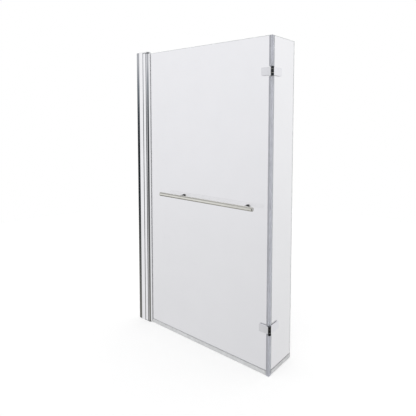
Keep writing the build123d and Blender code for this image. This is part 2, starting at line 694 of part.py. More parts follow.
def rail_washers():
    """A clear washer on each side of the glass at each stand-off."""
    washers = []
    for x in rail_posts:
        for side in (-1, 1):
            face, back = side * GLASS / 2, side * (GLASS / 2 + RAIL_WASHER)
            washer = rod_y(POST_FLANGE_RADIUS, x, RAIL_RISE, face, back)
            washers.append(washer - rod_y(RAIL_BOLT_RADIUS + FIT, x, RAIL_RISE, face - side, back + side))
    return washers


def rail_sleeve(x):
    sleeve = rod_y(RAIL_HOLE_RADIUS - FIT, x, RAIL_RISE, outer_y, inner_y)
    return sleeve - rod_y(RAIL_BOLT_RADIUS + FIT, x, RAIL_RISE, outer_y - PAST, inner_y + PAST)


def rail_inner_cap(x):
    foot = inner_y + RAIL_WASHER
    top = foot + RAIL_CAP
    cap = rod_y(POST_FLANGE_RADIUS, x, RAIL_RISE, foot, top)
    rim = cap.edges().filter_by(GeomType.CIRCLE).sort_by(Axis.Y)[-1]
    cap = fillet(rim, RAIL_CAP_ROUND)
    cap -= rod_y(RAIL_BOLT_RADIUS + FIT, x, RAIL_RISE, foot - PAST, top + PAST)
    return cap - rod_y(RAIL_BOLT_HEAD_RADIUS + FIT, x, RAIL_RISE, top - RAIL_BOLT_HEAD, top + PAST)


def rail_bolt(x):
    head = inner_y + RAIL_WASHER + RAIL_CAP
    tip = outer_y - RAIL_WASHER - RAIL_BOLT_BITE
    size = (RAIL_BOLT_RADIUS, RAIL_BOLT_HEAD_RADIUS, RAIL_BOLT_HEAD, RAIL_KEY)
    return sunk_screw((x, head, RAIL_RISE), (x, tip, RAIL_RISE), *size)


# Every node, by name. A list is a group of separate pieces.
nodes = {
    "wall_channel": wall_channel(),
    "adjusting_profile": adjusting_profile(),
    "pivot_wiper_seal": pivot_wiper_seal(),
    "profile_lock_screws": [lock_screw(z) for z in lock_screws],
    "lock_screw_caps": [lock_screw_cap(z) for z in lock_screws],
    "post_top_cap": post_top_cap(),
    "post_bottom_plug": post_bottom_plug(),
    "top_pivot_bracket": pivot_bracket(profile_top, post_top),
    "bottom_pivot_bracket": pivot_bracket(BRACKET, 0),
    "top_pivot_pin": pivot_pin(post_top, -1),
    "bottom_pivot_pin": pivot_pin(0, 1),
    "pivot_bracket_screws": pivot_bracket_screws(),
    "pivot_bar": pivot_bar(),
    "pivot_bushes": [pivot_bush(GLASS_TOP, -1), pivot_bush(bar_bottom, 1)],
    "glazing_gasket": glazing_gasket(),
    "main_glass": main_glass(),
    "main_bottom_seal": main_bottom_seal(),
    "corner_seal": corner_seal(),
    "towel_rail_tube": towel_rail_tube(),
    "rail_end_plugs": [rail_end_plug(rail_left, 1), rail_end_plug(rail_right, -1)],
    "rail_posts": [rail_post(x) for x in rail_posts],
    "rail_grub_screws": [rail_grub_screw(x) for x in rail_posts],
    "rail_washers": rail_washers(),
    "rail_sleeves": [rail_sleeve(x) for x in rail_posts],
    "rail_inner_caps": [rail_inner_cap(x) for x in rail_posts],
    "rail_bolts": [rail_bolt(x) for x in rail_posts],
    "return_glass": return_glass(),
    "return_bottom_seal": return_bottom_seal(),
}
for hinge, height in hinge_heights.items():
    nodes[f"{hinge}_main_leaf"] = main_leaf(height)
    nodes[f"{hinge}_pin"] = hinge_pin(height)
    nodes[f"{hinge}_main_plate"] = main_plate(height)
    nodes[f"{hinge}_main_gaskets"] = main_gaskets(height)
    nodes[f"{hinge}_main_screws"] = main_screws(height)
    nodes[f"{hinge}_return_leaf"] = return_leaf(height)
    nodes[f"{hinge}_bushes"] = hinge_bushes(height)
    nodes[f"{hinge}_return_plate"] = return_plate(height)
    nodes[f"{hinge}_return_gaskets"] = return_gaskets(height)
    nodes[f"{hinge}_return_screws"] = return_screws(height)

for name, shape in nodes.items():
    if isinstance(shape, list):
        shape = Compound(shape)
    export_step(shape, f"parts/{name}.step")
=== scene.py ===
"""Finishes, seals and a studio for an L-shaped bath screen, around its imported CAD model.

The frame is in metres: X runs from the wall along the main panel, Y points into the bath and Z is up.
Sizes in this file are in millimetres where a name or a comment doesn't say otherwise.
"""
import math

import bpy
import numpy as np
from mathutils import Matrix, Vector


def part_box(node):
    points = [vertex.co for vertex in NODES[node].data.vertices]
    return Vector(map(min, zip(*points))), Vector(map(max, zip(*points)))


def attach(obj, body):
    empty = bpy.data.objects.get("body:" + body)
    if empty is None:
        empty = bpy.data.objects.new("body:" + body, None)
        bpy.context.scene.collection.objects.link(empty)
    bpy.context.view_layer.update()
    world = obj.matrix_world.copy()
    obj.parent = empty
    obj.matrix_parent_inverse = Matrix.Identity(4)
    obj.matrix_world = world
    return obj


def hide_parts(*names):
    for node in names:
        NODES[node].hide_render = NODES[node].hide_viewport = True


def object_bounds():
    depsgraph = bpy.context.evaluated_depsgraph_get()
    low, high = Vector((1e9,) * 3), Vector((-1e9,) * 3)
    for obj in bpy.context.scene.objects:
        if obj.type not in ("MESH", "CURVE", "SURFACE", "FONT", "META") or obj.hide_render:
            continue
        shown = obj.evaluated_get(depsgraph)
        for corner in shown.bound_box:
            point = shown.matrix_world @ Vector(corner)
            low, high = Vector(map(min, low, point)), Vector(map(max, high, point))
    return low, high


bl_info = {
    "name": "L-shaped bath screen",
    "version": (1, 0, 0),
    "blender": (4, 5, 0),
    "location": "View3D > Sidebar > Bath screen",
    "description": "Finishes, soft seals and studio for a hinged two-panel bath screen",
    "category": "Object",
}

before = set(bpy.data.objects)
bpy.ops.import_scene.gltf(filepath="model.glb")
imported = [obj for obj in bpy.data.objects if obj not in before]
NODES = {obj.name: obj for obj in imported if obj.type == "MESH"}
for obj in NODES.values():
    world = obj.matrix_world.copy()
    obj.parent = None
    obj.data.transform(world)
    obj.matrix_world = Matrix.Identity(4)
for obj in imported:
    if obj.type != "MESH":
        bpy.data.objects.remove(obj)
CAD_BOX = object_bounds()
HINGES = ("lower_hinge", "upper_hinge")
MM = 0.001

# Finishes, lengths in millimetres
KNUCKLE_EDGE = (0.05, 0.25)     # where the painted dark reflection on the knuckle fades out, past the knuckle
GROUND_EDGE = (0.7, 0.5)        # where the glass turns matt, before its edge
FILM = 0.985                    # share of light that the thin film left on the glass lets through


def edge(node, side, axis):
    """One side of a CAD node's box in millimetres: side 0 is the low one, axis 0 is X."""
    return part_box(node)[side][axis] / MM


GLASS_FRONT = edge("main_glass", 0, 1)
GLASS_BACK = edge("main_glass", 1, 1)
GLASS_FLOOR = edge("main_glass", 0, 2)
CORNER_X = edge("return_glass", 1, 0)


def linear(code):
    """An sRGB hex colour as linear red, green and blue."""
    parts = np.array([int(code[i:i + 2], 16) for i in (1, 3, 5)]) / 255
    return tuple(np.where(parts <= 0.04045, parts / 12.92, ((parts + 0.055) / 1.055) ** 2.4))


def colour(name, code, words):
    return bpy.props.FloatVectorProperty(
        name=name, description=words, default=linear(code), subtype="COLOR", min=0, max=1)


def length(name, size, words):
    return bpy.props.FloatProperty(
        name=name, description=words, default=size * MM, subtype="DISTANCE", unit="LENGTH", min=0)


class MetalFinishes(bpy.types.PropertyGroup):
    """Colours of the plated, milled and turned metal."""

    post: colour("Post chrome", "#F3F3F6", "Bright chrome on the wall post's extrusions")
    hinge: colour("Hinge chrome", "#EFEFF3", "Bright chrome on the cast hinge plates")
    # Painted dark reflection: this dark colour stands in for the dark room that the chrome knuckles and rail
    # stand-offs would mirror
    painted_dark_reflection: colour("Knuckle", "#4A4B4D", "Dark nickel on the hinges' turned knuckles and the rail's stand-offs")
    rail: colour("Rail chrome", "#DFDED8", "Slightly warmer chrome on the towel rail's steel tube")
    aluminium: colour("Mill aluminium", "#C9CBCE", "Bare aluminium of the pivot brackets")
    steel: colour("Stainless steel", "#B9B9BB", "Turned stainless steel of screws and pins")


class GlassFinishes(bpy.types.PropertyGroup):
    """Colours of the glass."""

    sheet: colour("Main glass", "#F5F5F7", "What 6 mm of clear float glass leaves of white light")
    return_sheet: colour("Return glass", "#FAFAFB", "The same for the return panel")
    ground: colour("Ground edge", "#DDE7E3", "The matt, greener look of the ground edges")


class SoftFinishes(bpy.types.PropertyGroup):
    """Colours and sizes of the flexible seals and moulded plastic."""

    clear: colour("Clear seal", "#F9FAFB", "Clear flexible PVC along the bottom edges")
    corner: colour("Corner seal", "#E6E8F0", "Translucent grey flexible PVC in the corner")
    # Painted light: the gasket gets a near-white colour, lighter than its soft grey, to make up for the shade in the
    # post's glazing slot; the hinge gaskets share it
    rubber: colour("Gasket", "#F4F4F6", "Soft grey gasket between metal and glass")
    nylon: colour("Nylon", "#E4E4DF", "Natural moulded nylon of bushes, sleeves and plugs")
    lip: length("Lip", 0.4, "How far the ends of the extruded seals are eased")
    ripple: length("Fin ripple", 0.35, "How far the thin drip fin waves along its length")


class StudioSettings(bpy.types.PropertyGroup):
    """Camera and light."""

    lens: bpy.props.FloatProperty(
        name="Lens", description="Focal length on a 36 mm sensor", default=34.68, subtype="DISTANCE_CAMERA", min=1)
    lamp: bpy.props.FloatProperty(
        name="Lamp", description="Strength of the large soft lamp", default=0.9, min=0)
    fill: bpy.props.FloatProperty(
        name="Fill", description="Strength of the even light from all round", default=0.75, min=0)


# Mesh

def rounded(corners, radii, steps=6):
    """A closed outline with bent corners: the outline leaves each corner a radius before it, joins it again a
    radius after it, and follows the parabola that the corner pulls in between."""
    corners = np.asarray(corners, float)
    bend = np.broadcast_to(radii, len(corners))[:, None]
    back, on = np.roll(corners, 1, 0) - corners, np.roll(corners, -1, 0) - corners
    back_length, on_length = (np.linalg.norm(v, axis=1)[:, None] for v in (back, on))
    leave = corners + back / back_length * np.minimum(bend, back_length * 0.45)
    join = corners + on / on_length * np.minimum(bend, on_length * 0.45)
    t = np.linspace(0, 1, steps)[None, :, None]
    points = (1 - t) ** 2 * leave[:, None] + 2 * t * (1 - t) * corners[:, None] + t ** 2 * join[:, None]
    return points.reshape(-1, 2)


def inset(outline, distance):
    """A closed outline moved inwards: each point goes along the normal of the chord between its neighbours."""
    chord = np.roll(outline, -1, 0) - np.roll(outline, 1, 0)
    normal = np.column_stack((-chord[:, 1], chord[:, 0])) / np.linalg.norm(chord, axis=1)[:, None]
    return outline + normal * distance


def eased_ends(start, end, lip, step=None):
    """Distances along an extrusion, and how far each ring is drawn in so that both ends are rounded over."""
    turn = np.radians([0, 30, 60, 90])
    drawn = lip * (1 - np.sin(turn))
    run = lip * (1 - np.cos(turn))
    count = 2 if step is None else max(2, int((end - start) / step))
    middle = np.linspace(start + lip, end - lip, count)[1:-1]
    along = np.concatenate((start + run, middle, (end - run)[::-1]))
    return along, np.concatenate((drawn, np.zeros(len(middle)), drawn[::-1]))


def mesh_of(name, rings, closed=False, caps=(0, 1)):
    """One object from rings of points, each row of the grid a ring: neighbouring rings are joined by quads, and
    the first and last rings are capped, or joined to each other where the grid is closed. Millimetres go in."""
    count, around = rings.shape[:2]
    grid = np.arange(count * around).reshape(count, around)
    last = grid if closed else grid[:-1]
    after = np.roll(grid, -1, 0) if closed else grid[1:]
    quads = np.stack((last, np.roll(last, -1, 1), np.roll(after, -1, 1), after), -1).reshape(-1, 4)
    ends = (grid[0][::-1].tolist(), grid[-1].tolist())
    faces = quads.tolist() + ([] if closed else [ends[i] for i in caps])
    mesh = bpy.data.meshes.new(name)
    mesh.from_pydata((rings.reshape(-1, 3) * MM).tolist(), [], faces)
    mesh.validate()
    mesh.shade_smooth()
    mesh.set_sharp_from_angle(angle=math.radians(38))
    made = bpy.data.objects.new(name, mesh)
    bpy.context.scene.collection.objects.link(made)
    return made


def joined(name, objects):
    """Several objects as one."""
    with bpy.context.temp_override(active_object=objects[0], selected_editable_objects=objects):
        bpy.ops.object.join()
    objects[0].name = name
    return objects[0]


def extruded(outline, along, drawn, place):
    """Rings of an extrusion: outline point (a, b) at distance s goes to the point that place gives for (a, b, s).
    Each ring is drawn in by its own amount."""
    rings = np.stack([inset(outline, d) for d in drawn])
    s = np.broadcast_to(along[:, None], rings.shape[:2])
    return place(rings[..., 0], rings[..., 1], s)


def upright(a, b, s):
    """A section drawn on XY and extruded up."""
    return np.stack((a, b, s), -1)


# Materials

def add(tree, kind, inputs=None, stops=None, **settings):
    """Adds one node with its settings, its inputs as values or as the sockets that feed them, and a ramp's
    stops as (place, grey or colour)."""
    made = tree.nodes.new(kind)
    for name, value in settings.items():
        setattr(made, name, value)
    for key, value in (inputs or {}).items():
        if isinstance(value, bpy.types.NodeSocket):
            tree.links.new(value, made.inputs[key])
        else:
            made.inputs[key].default_value = value
    for index, (place, value) in enumerate(stops or ()):
        points = made.color_ramp.elements
        point = points[index] if index < 2 else points.new(place)
        point.position = place
        point.color = (*(value if isinstance(value, tuple) else (value,) * 3), 1)
    return made


def start(name):
    """A material with its surface shader and the coordinates of the piece, in metres."""
    material = bpy.data.materials.new(name)
    material.use_nodes = True
    tree = material.node_tree
    shader = tree.nodes["Principled BSDF"]
    place = tree.nodes.new("ShaderNodeTexCoord").outputs["Object"]
    return material, tree, shader, place


def scale_of(size, longer=(1, 1, 1)):
    """Noise scales for a feature of a real size in millimetres, stretched that many times along X, Y and Z."""
    return tuple(1 / (size * MM * s) for s in longer)


def noise_of(tree, place, scale, detail=2.0):
    """A noise pattern whose features have the sizes that scale_of gives."""
    mapped = add(tree, "ShaderNodeMapping", {"Vector": place, "Scale": scale})
    noise = add(tree, "ShaderNodeTexNoise", {"Vector": mapped.outputs[0], "Scale": 1.0, "Detail": detail})
    return noise.outputs[0]


def tinted(tree, shader, pattern, base, darker, spread=(0.35, 0.65)):
    """Base colour that goes from a darker share of a colour to the colour itself where a pattern rises."""
    low = tuple(c * darker for c in base)
    ramp = add(tree, "ShaderNodeValToRGB", {"Fac": pattern}, stops=((spread[0], low), (spread[1], tuple(base))))
    tree.links.new(ramp.outputs[0], shader.inputs["Base Color"])
    return ramp


def roughened(tree, shader, pattern, low, high):
    """Roughness that a pattern moves between two values."""
    spread = add(tree, "ShaderNodeMapRange", {"Value": pattern, "To Min": low, "To Max": high})
    tree.links.new(spread.outputs[0], shader.inputs["Roughness"])


def bumped(tree, shader, pattern, height):
    """Relief from a pattern, of a height in millimetres."""
    bump = add(tree, "ShaderNodeBump", {"Height": pattern, "Distance": height * MM, "Strength": 1.0})
    tree.links.new(bump.outputs[0], shader.inputs["Normal"])


def chromed_extrusion(name, base):
    """Bright-dipped and chromed aluminium extrusion. It mirrors the room, with faint lines from the die along its
    length and a slight haze where hands wiped it."""
    material, tree, shader, place = start(name)
    shader.inputs["Metallic"].default_value = 1.0
    die_lines = noise_of(tree, place, scale_of(0.9, (1, 1, 400)))
    haze = noise_of(tree, place, scale_of(70), 3.0)
    tinted(tree, shader, haze, base, 0.965)
    roughened(tree, shader, haze, 0.035, 0.085)
    bumped(tree, shader, die_lines, 0.0006)
    return material


def chromed_casting(name, base, painted_dark_reflection, axis, radius):
    """Polished zinc casting with bright chrome. The polished faces keep a soft, shallow unevenness a few
    millimetres wide, and small wiped marks change the gloss. Round the hinge's axis the turned knuckles get a dark
    base colour: a painted dark reflection, standing in for the dark room that their chrome would mirror."""
    material, tree, shader, place = start(name)
    shader.inputs["Metallic"].default_value = 1.0
    uneven = noise_of(tree, place, scale_of(7))
    marks = noise_of(tree, place, scale_of(3.5, (1, 1, 2)), 4.0)
    plate = tinted(tree, shader, marks, base, 0.95).outputs[0]
    # Painted dark reflection: within the knuckle's radius of the axis the base colour turns to the dark knuckle
    # colour
    out = add(tree, "ShaderNodeVectorMath", {0: place, 1: (*axis, 0)}, operation="SUBTRACT").outputs[0]
    out = add(tree, "ShaderNodeVectorMath", {0: out, 1: (1, 1, 0)}, operation="MULTIPLY").outputs[0]
    out = add(tree, "ShaderNodeVectorMath", {0: out}, operation="LENGTH").outputs["Value"]
    leaf = add(tree, "ShaderNodeMapRange", {"Value": out, "From Min": radius + KNUCKLE_EDGE[0] * MM,
                                            "From Max": radius + KNUCKLE_EDGE[1] * MM})
    mixed = add(tree, "ShaderNodeMix", {"Factor": leaf.outputs[0], 6: (*painted_dark_reflection, 1), 7: plate}, data_type="RGBA")
    tree.links.new(mixed.outputs[2], shader.inputs["Base Color"])
    roughened(tree, shader, marks, 0.04, 0.11)
    bumped(tree, shader, uneven, 0.004)
    return material


def chromed_tube(name, base):
    """Drawn and plated steel tube. Polishing went round it, so its very fine marks run round the tube, drawn here
    a millimetre apart so that they show."""
    material, tree, shader, place = start(name)
    shader.inputs["Metallic"].default_value = 1.0
    marks = noise_of(tree, place, scale_of(1.0, (1, 30, 30)))
    haze = noise_of(tree, place, scale_of(45), 3.0)
    tinted(tree, shader, haze, base, 0.93)
    roughened(tree, shader, marks, 0.07, 0.15)
    bumped(tree, shader, marks, 0.0008)
    return material


def mill_aluminium(name, base):
    """Aluminium as it leaves the mill: grey-white, satin, with rolling lines about half a millimetre apart."""
    material, tree, shader, place = start(name)
    shader.inputs["Metallic"].default_value = 1.0
    lines = noise_of(tree, place, scale_of(0.5, (60, 1, 1)), 3.0)
    tinted(tree, shader, lines, base, 0.85)
    roughened(tree, shader, lines, 0.28, 0.42)
    bumped(tree, shader, lines, 0.01)
    return material


def turned_steel(name, base):
    """Stainless steel turned on a lathe: satin, with tool marks and a mottled passivated skin."""
    material, tree, shader, place = start(name)
    shader.inputs["Metallic"].default_value = 1.0
    mottle = noise_of(tree, place, scale_of(1.6), 4.0)
    tinted(tree, shader, mottle, base, 0.8)
    roughened(tree, shader, mottle, 0.2, 0.36)
    bumped(tree, shader, noise_of(tree, place, scale_of(0.35)), 0.01)
    return material


def toughened_glass(name, base, ground, low, high, axis):
    """Clear toughened float glass with ground edges. Its faces are flat to the eye but for the faint waves that
    toughening leaves, 60 mm or so long. Within a millimetre of an edge it is matt and greener."""
    material, tree, shader, place = start(name)
    shader.inputs["IOR"].default_value = 1.52
    parts = add(tree, "ShaderNodeSeparateXYZ", {"Vector": place})
    inside = 1.0
    for index, side in ((axis, "XYZ"[axis]), (2, "Z")):
        middle, half = (low[index] + high[index]) / 2 * MM, (high[index] - low[index]) / 2 * MM
        off = add(tree, "ShaderNodeMath", {0: parts.outputs[side], 1: middle}, operation="SUBTRACT").outputs[0]
        off = add(tree, "ShaderNodeMath", {0: off}, operation="ABSOLUTE").outputs[0]
        clear = add(tree, "ShaderNodeMapRange", {"Value": off, "From Min": half - GROUND_EDGE[0] * MM,
                                                 "From Max": half - GROUND_EDGE[1] * MM,
                                                 "To Min": 1.0, "To Max": 0.0}).outputs[0]
        inside = add(tree, "ShaderNodeMath", {0: inside, 1: clear}, operation="MULTIPLY").outputs[0]
    film = noise_of(tree, place, scale_of(120), 3.0)
    filmed = tuple(c * FILM for c in base)
    wiped = add(tree, "ShaderNodeValToRGB", {"Fac": film}, stops=((0.3, filmed), (0.7, tuple(base))))
    mixed = add(tree, "ShaderNodeMix", {"Factor": inside, 6: (*ground, 1), 7: wiped.outputs[0]}, data_type="RGBA")
    tree.links.new(mixed.outputs[2], shader.inputs["Base Color"])
    for socket, at_edge, on_face in (("Roughness", 0.32, 0.0), ("Transmission Weight", 0.4, 1.0)):
        level = add(tree, "ShaderNodeMapRange", {"Value": inside, "To Min": at_edge, "To Max": on_face})
        tree.links.new(level.outputs[0], shader.inputs[socket])
    bumped(tree, shader, noise_of(tree, place, scale_of(60), 1.0), 0.004)
    return material


def flexible_pvc(name, base, clear, rough, stretch):
    """Extruded plasticised PVC. It lets light through without a sharp view, has fine lines along its length, and is
    a little cloudy where the plasticiser bloomed."""
    material, tree, shader, place = start(name)
    shader.inputs["Transmission Weight"].default_value = clear
    shader.inputs["IOR"].default_value = 1.53
    lines = noise_of(tree, place, scale_of(0.8, stretch))
    cloud = noise_of(tree, place, scale_of(25), 3.0)
    tinted(tree, shader, cloud, base, 0.9)
    roughened(tree, shader, cloud, rough, rough + 0.12)
    bumped(tree, shader, lines, 0.02)
    return material


def soft_rubber(name, base):
    """Moulded elastomer, matt, with a fine even grain."""
    material, tree, shader, place = start(name)
    shader.inputs["Specular IOR Level"].default_value = 0.35
    grain = noise_of(tree, place, scale_of(0.5), 4.0)
    tinted(tree, shader, noise_of(tree, place, scale_of(15), 3.0), base, 0.88)
    roughened(tree, shader, grain, 0.55, 0.75)
    bumped(tree, shader, grain, 0.02)
    return material


def moulded_nylon(name, base):
    """Natural nylon from a mould: milky, low gloss, slightly mottled, with some light under its skin."""
    material, tree, shader, place = start(name)
    shader.inputs["Subsurface Weight"].default_value = 0.25
    shader.inputs["Subsurface Radius"].default_value = (1.0, 0.9, 0.8)
    shader.inputs["Subsurface Scale"].default_value = 1.5 * MM
    mottle = noise_of(tree, place, scale_of(4), 3.0)
    tinted(tree, shader, mottle, base, 0.93)
    roughened(tree, shader, mottle, 0.38, 0.5)
    bumped(tree, shader, noise_of(tree, place, scale_of(0.6)), 0.01)
    return material


def wear(material, *names):
    """Gives CAD nodes a finish."""
    for name in names:
        for slot in NODES[name].material_slots:
            slot.material = material


def dress(piece, material, body, slot, *stands_for):
    """Finishes a new piece, puts it on its body and hides the CAD nodes that it stands for."""
    piece.data.materials.clear()
    piece.data.materials.append(material)
    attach(piece, body)
    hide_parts(*stands_for)


# Operators

class SCREEN_OT_studio(bpy.types.Operator):
    """Camera, floor, lamp and the room that chrome and glass show"""

    bl_idname = "screen.studio"
    bl_label = "Studio"

    TURN = 39.85        # degrees round from looking along the bath's width
    PITCH = 4.04        # degrees down
    PLACE = (1.6252, -1.3846, 1.0634)
    RISE = -60 / 416    # shift, so that uprights stay nearly parallel
    FLOOR_RADIUS = 3.0  # metres
    FLOOR_DROP = 0.2    # how far the floor lies below the seals
    FLOOR_GREY = 0.55
    FLOOR_GLOW = 0.5    # light of its own that makes the grey floor white to the camera
    LAMP_TILT = 38      # degrees from straight down
    LAMP_TURN = 20      # degrees round
    LAMP_SPREAD = 50    # degrees across the lamp, which softens its shadow

    # What the room shows, as (degrees, grey or colour). LIGHTS goes round the room, and is how much of BRIGHT
    # is seen there and not DARK. The others go from straight down to straight up.
    LIGHTS = ((-180, 0.0), (-149, 0.0), (-144, 1.0), (-129, 1.0), (-121, 0.72), (-114, 0.03), (-75, 0.03),
              (-60, 0.08), (-45, 0.03), (-10, 0.03), (24, 0.7), (48, 0.95), (88, 0.95), (104, 0.55), (128, 0.4),
              (138, 0.0))
    DARK = ((-90, 0.35), (-45, linear("#8A8883")), (-26, linear("#74746F")), (-19, linear("#5A5B58")),
            (-12, linear("#2E3234")), (-4, linear("#24292C")), (1, linear("#454B4F")), (5, linear("#80868B")),
            (8, linear("#B4B6B9")), (30, 0.3), (90, 0.75))
    BRIGHT = ((-90, 0.5), (-40, 0.8), (-10, 0.95), (15, 1.0), (40, 0.5), (90, 0.8))
    BACKDROP = ((-90, (0.66, 0.66, 0.67)), (-34, (0.735, 0.735, 0.745)), (-20, (0.79, 0.79, 0.8)),
                (-5, (0.86, 0.86, 0.875)), (10, (0.915, 0.915, 0.93)), (90, (0.93, 0.93, 0.94)))

    def camera(self, settings):
        data = bpy.data.cameras.new("camera")
        data.lens = settings.lens
        data.shift_y = self.RISE
        data.clip_start, data.clip_end = 0.05, 60
        camera = bpy.data.objects.new("camera", data)
        camera.location = self.PLACE
        camera.rotation_euler = (math.radians(90 - self.PITCH), 0, math.radians(self.TURN))
        bpy.context.scene.collection.objects.link(camera)
        bpy.context.scene.camera = camera

    def floor(self):
        """A disc: point (r, a) of the grid is r out from the middle at angle a."""
        radius, angle = np.meshgrid(np.linspace(0.02, 1, 4) * self.FLOOR_RADIUS / MM,
                                    np.linspace(0, 2 * np.pi, 96, endpoint=False), indexing="ij")
        middle = np.add(*CAD_BOX) / 2 / MM
        rings = np.stack((middle[0] + radius * np.cos(angle), middle[1] + radius * np.sin(angle),
                          np.full_like(radius, CAD_BOX[0][2] / MM - self.FLOOR_DROP)), -1)
        floor = mesh_of("floor", rings[::-1], caps=(1,))
        material = bpy.data.materials.new("white_floor")
        material.use_nodes = True
        tree = material.node_tree
        tree.nodes.remove(tree.nodes["Principled BSDF"])
        matt = add(tree, "ShaderNodeBsdfDiffuse", {"Color": (self.FLOOR_GREY,) * 3 + (1,)})
        seen = add(tree, "ShaderNodeLightPath").outputs["Is Camera Ray"]
        lift = add(tree, "ShaderNodeMath", {0: seen, 1: self.FLOOR_GLOW}, operation="MULTIPLY")
        glow = add(tree, "ShaderNodeEmission", {"Color": (1, 1, 1, 1), "Strength": lift.outputs[0]})
        both = add(tree, "ShaderNodeAddShader", {0: matt.outputs[0], 1: glow.outputs[0]})
        tree.links.new(both.outputs[0], tree.nodes["Material Output"].inputs["Surface"])
        floor.data.materials.append(material)
        floor.visible_glossy = floor.visible_transmission = False

    def lamp(self, settings):
        data = bpy.data.lights.new("soft_lamp", "SUN")
        data.energy = settings.lamp
        data.angle = math.radians(self.LAMP_SPREAD)
        lamp = bpy.data.objects.new("soft_lamp", data)
        lamp.rotation_euler = (math.radians(self.LAMP_TILT), 0, math.radians(self.LAMP_TURN))
        lamp.visible_glossy = lamp.visible_transmission = False
        bpy.context.scene.collection.objects.link(lamp)

    def room(self, settings):
        """White to the eye. Chrome sees a dark studio with a tall soft light on the left and a wider one behind on
        the right, and glass shows a backdrop that darkens downwards."""
        world = bpy.data.worlds.new("room")
        bpy.context.scene.world = world
        world.use_nodes = True
        tree = world.node_tree
        way = add(tree, "ShaderNodeTexCoord").outputs["Generated"]
        parts = add(tree, "ShaderNodeSeparateXYZ", {"Vector": way})
        angle = add(tree, "ShaderNodeMath", {0: parts.outputs["Y"], 1: parts.outputs["X"]}, operation="ARCTAN2")
        round_way = add(tree, "ShaderNodeMapRange", {"Value": angle.outputs[0], "From Min": -math.pi,
                                                     "From Max": math.pi}).outputs[0]
        height = add(tree, "ShaderNodeMapRange", {"Value": parts.outputs["Z"], "From Min": -1.0}).outputs[0]

        def turn(degrees):
            return (degrees + 180) / 360

        def rise(degrees):
            return (math.sin(math.radians(degrees)) + 1) / 2

        lights = add(tree, "ShaderNodeValToRGB", {"Fac": round_way},
                     stops=[(turn(d), v) for d, v in self.LIGHTS]).outputs[0]
        dark, bright, glass_sees = (
            add(tree, "ShaderNodeValToRGB", {"Fac": height}, stops=[(rise(d), v) for d, v in stops]).outputs[0]
            for stops in (self.DARK, self.BRIGHT, self.BACKDROP))
        chrome_sees = add(tree, "ShaderNodeMix", {"Factor": lights, 6: dark, 7: bright}, data_type="RGBA").outputs[2]
        path = add(tree, "ShaderNodeLightPath")
        seen = (settings.fill,) * 3 + (1,)
        for flag, view in (("Is Glossy Ray", chrome_sees), ("Is Transmission Ray", glass_sees),
                           ("Is Camera Ray", (1, 1, 1, 1))):
            seen = add(tree, "ShaderNodeMix", {"Factor": path.outputs[flag], 6: seen, 7: view},
                       data_type="RGBA").outputs[2]
        tree.links.new(seen, tree.nodes["Background"].inputs["Color"])

    def execute(self, context):
        settings = context.scene.screen_studio
        self.camera(settings)
        self.floor()
        self.lamp(settings)
        self.room(settings)
        context.scene.view_settings.view_transform = "Standard"
        return {"FINISHED"}


class SCREEN_OT_post(bpy.types.Operator):
    """Finishes of the wall channel, its sliding profile, the pivot bar and their ends"""

    bl_idname = "screen.post"
    bl_label = "Wall post"

    def execute(self, context):
        metal, soft = context.scene.screen_metal, context.scene.screen_soft
        wear(chromed_extrusion("chromed_post_extrusion", metal.post),
             "wall_channel", "adjusting_profile", "pivot_bar", "post_top_cap", "lock_screw_caps")
        wear(mill_aluminium("mill_aluminium_bracket", metal.aluminium), "top_pivot_bracket", "bottom_pivot_bracket")
        wear(moulded_nylon("natural_nylon", soft.nylon),
             "post_bottom_plug", "pivot_bushes", "rail_sleeves", *(f"{h}_bushes" for h in HINGES))
        return {"FINISHED"}


class SCREEN_OT_fasteners(bpy.types.Operator):
    """Finish of every screw, bolt and pin"""

    bl_idname = "screen.fasteners"
    bl_label = "Screws and pins"

    def execute(self, context):
        wear(turned_steel("turned_stainless_steel", context.scene.screen_metal.steel),
             "profile_lock_screws", "top_pivot_pin", "bottom_pivot_pin", "pivot_bracket_screws", "rail_grub_screws",
             "rail_bolts", *(f"{h}_{part}" for h in HINGES for part in ("pin", "main_screws", "return_screws")))
        return {"FINISHED"}


class SCREEN_OT_glass(bpy.types.Operator):
    """Finish of both glass panels"""

    bl_idname = "screen.glass"
    bl_label = "Glass panels"

    def execute(self, context):
        tones = context.scene.screen_glass
        for name, sheet, axis in (("main_glass", tones.sheet, 0), ("return_glass", tones.return_sheet, 1)):
            low, high = ([v / MM for v in corner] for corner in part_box(name))
            wear(toughened_glass(f"toughened_{name}", sheet, tones.ground, low, high, axis), name)
            NODES[name].visible_shadow = False
        return {"FINISHED"}


class SCREEN_OT_hinges(bpy.types.Operator):
    """Finishes of the two corner hinges"""

    bl_idname = "screen.hinges"
    bl_label = "Corner hinges"

    def execute(self, context):
        scene = context.scene
        (x0, y0, _), (x1, y1, _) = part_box("lower_hinge_pin")
        axis, metal = ((x0 + x1) / 2, (y0 + y1) / 2), scene.screen_metal
        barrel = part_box("lower_hinge_main_leaf")[1][0] - axis[0]
        wear(chromed_casting("chromed_hinge_casting", metal.hinge, metal.painted_dark_reflection, axis, barrel),
             *(f"{h}_{part}" for h in HINGES for part in ("main_leaf", "main_plate", "return_leaf", "return_plate")))
        wear(soft_rubber("hinge_gasket_rubber", scene.screen_soft.rubber),
             *(f"{h}_{part}" for h in HINGES for part in ("main_gaskets", "return_gaskets")))
        return {"FINISHED"}


